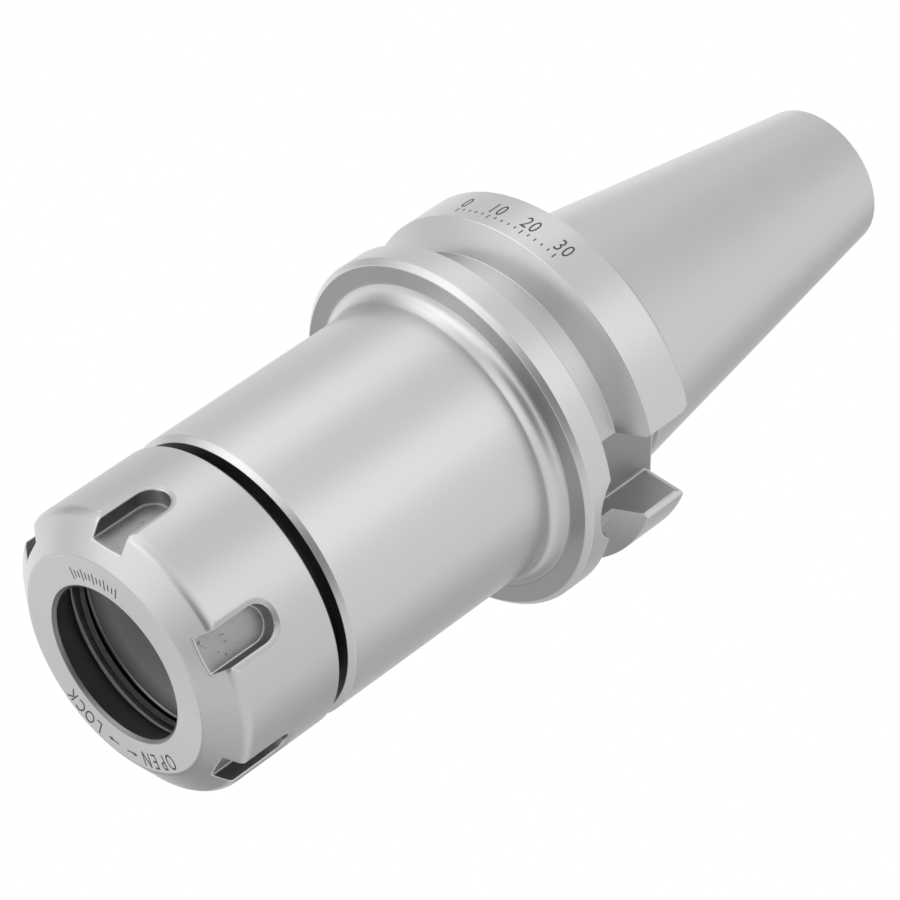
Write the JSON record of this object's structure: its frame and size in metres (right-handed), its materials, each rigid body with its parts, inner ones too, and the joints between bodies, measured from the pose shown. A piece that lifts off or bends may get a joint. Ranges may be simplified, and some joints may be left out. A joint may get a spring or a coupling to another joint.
{
  "type": "collet chuck holder",
  "caption": "Steep taper collet chuck holder: grooved gripping flange with drive keyways, cylindrical nose and a slotted clamping nut that turns on its thread.",
  "frame": {"origin": "centre of the taper's gauge plane, on the holder's axis", "axes": "+Z along the axis towards the taper's small end, +X through the middle of one drive keyway; the nut's flat face points along -Z"},
  "size_m": [0.063, 0.063, 0.1639],
  "materials": {
    "body_steel": "ground, satin",
    "nut_steel": "fine turned, satin"
  },
  "bodies": {
    "holder": {"holder_body": "body_steel"},
    "nut": {"clamping_nut": "nut_steel"}
  },
  "joints": [
    {"name": "nut_turn", "type": "hinge", "parent": "holder", "child": "nut", "pos_m": [0, 0, -0.087], "axis": [0, 0, 1], "range_deg": [-2790, 470]}
  ]
}
